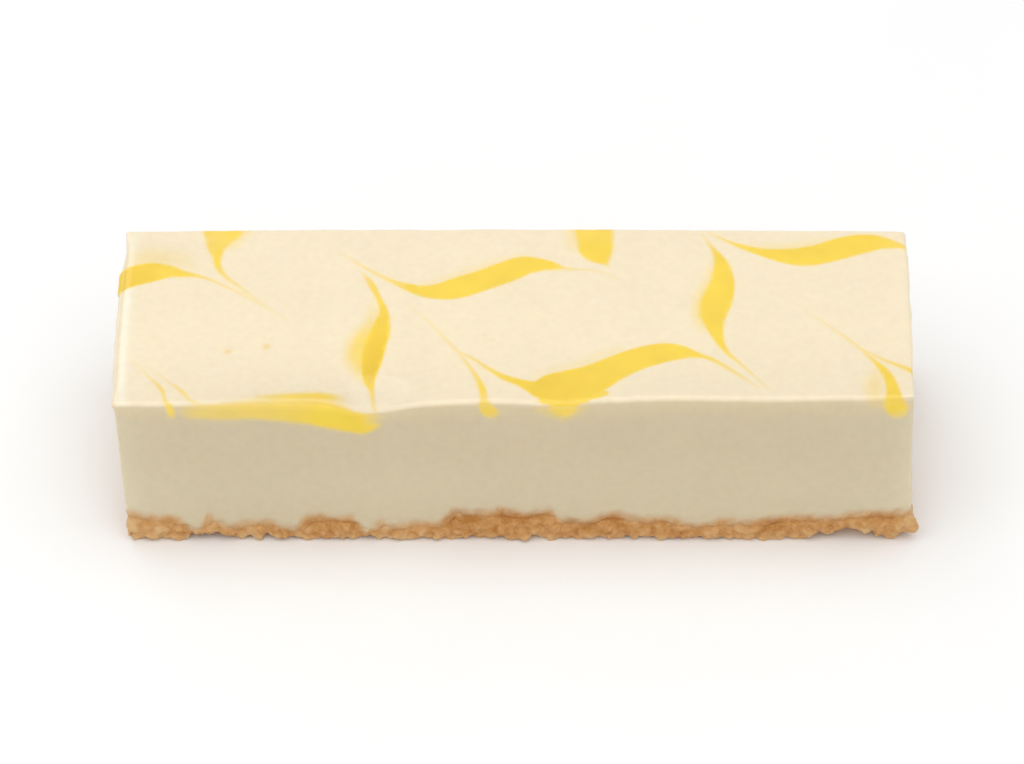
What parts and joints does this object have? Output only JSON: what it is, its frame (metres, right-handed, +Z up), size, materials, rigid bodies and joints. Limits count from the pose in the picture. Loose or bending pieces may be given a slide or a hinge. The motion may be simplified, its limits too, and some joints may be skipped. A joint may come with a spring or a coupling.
{
  "type": "no-bake lemon cheesecake bar",
  "caption": "Rectangular cheesecake portion: a smooth lemon cheese filling with squared cut faces on a thin, rough biscuit crumb base.",
  "frame": {"origin": "middle of the box round the bar, on the surface that it rests on", "axes": "+X along the bar, left to right as seen from the front; the front cut face looks towards -Y; +Z up"},
  "size_m": [0.1014, 0.0352, 0.0243],
  "materials": {
    "lemon_cheese": "smooth cream, glazed on top and matt on the cut faces",
    "biscuit_crumb": "rough pressed crumbs"
  },
  "bodies": {
    "root": {"lemon_cheese_filling": "lemon_cheese", "biscuit_base": "biscuit_crumb"}
  },
  "joints": []
}
